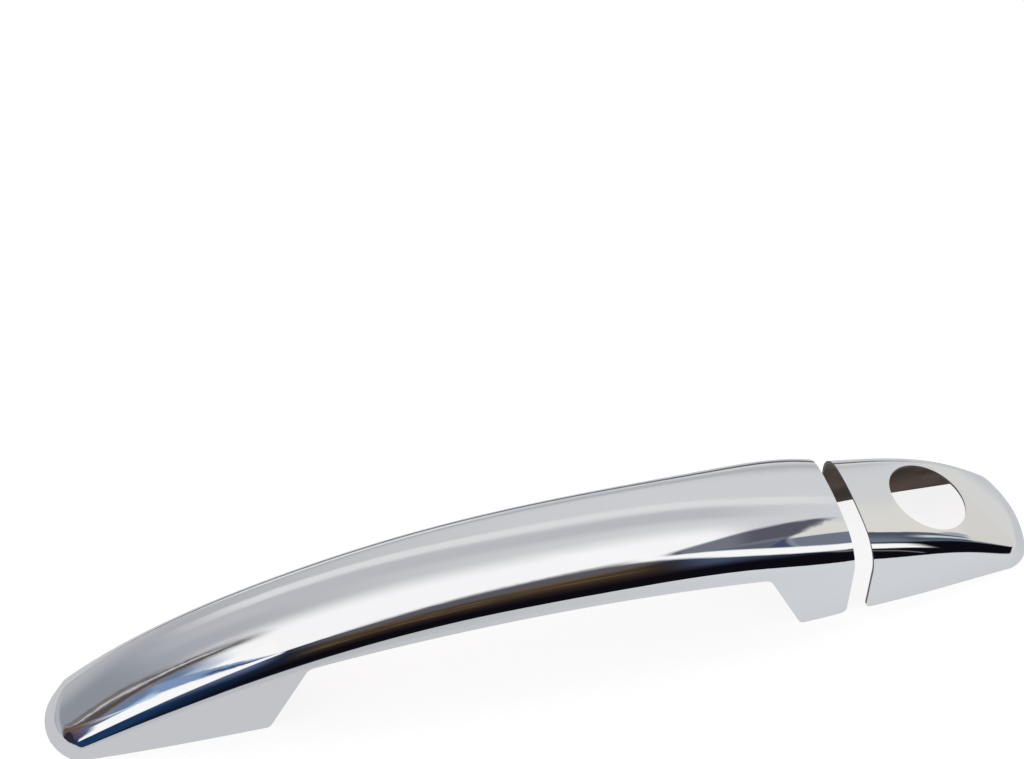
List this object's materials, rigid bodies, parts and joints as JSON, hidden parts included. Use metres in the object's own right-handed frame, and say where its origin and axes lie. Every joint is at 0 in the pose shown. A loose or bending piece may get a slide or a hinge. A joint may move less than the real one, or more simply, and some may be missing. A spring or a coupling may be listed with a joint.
{
  "type": "car door handle cover",
  "caption": "Bright sheet cover for a car door handle: a long arched grip shell with a finger gap and a short end cap shell with a round key hole.",
  "frame": {"origin": "on the rim plane, midway along the two covers and midway across them", "axes": "+X along the handle from the low tip of the grip to the nose of the end cap, +Z away from the door, Y across the handle"},
  "size_m": [0.253, 0.0342, 0.0348],
  "materials": {
    "bright_sheet": "mirror polished outside, darker satin inside",
    "foam_tape": "matt foam",
    "release_liner": "smooth film"
  },
  "bodies": {
    "root": {"grip_cover": "bright_sheet", "end_cap_cover": "bright_sheet", "grip_tape_1": "foam_tape", "grip_liner_1": "release_liner", "grip_tape_2": "foam_tape", "grip_liner_2": "release_liner", "grip_tape_3": "foam_tape", "grip_liner_3": "release_liner", "grip_tape_4": "foam_tape", "grip_liner_4": "release_liner", "cap_tape_1": "foam_tape", "cap_liner_1": "release_liner", "cap_tape_2": "foam_tape", "cap_liner_2": "release_liner"}
  },
  "joints": []
}
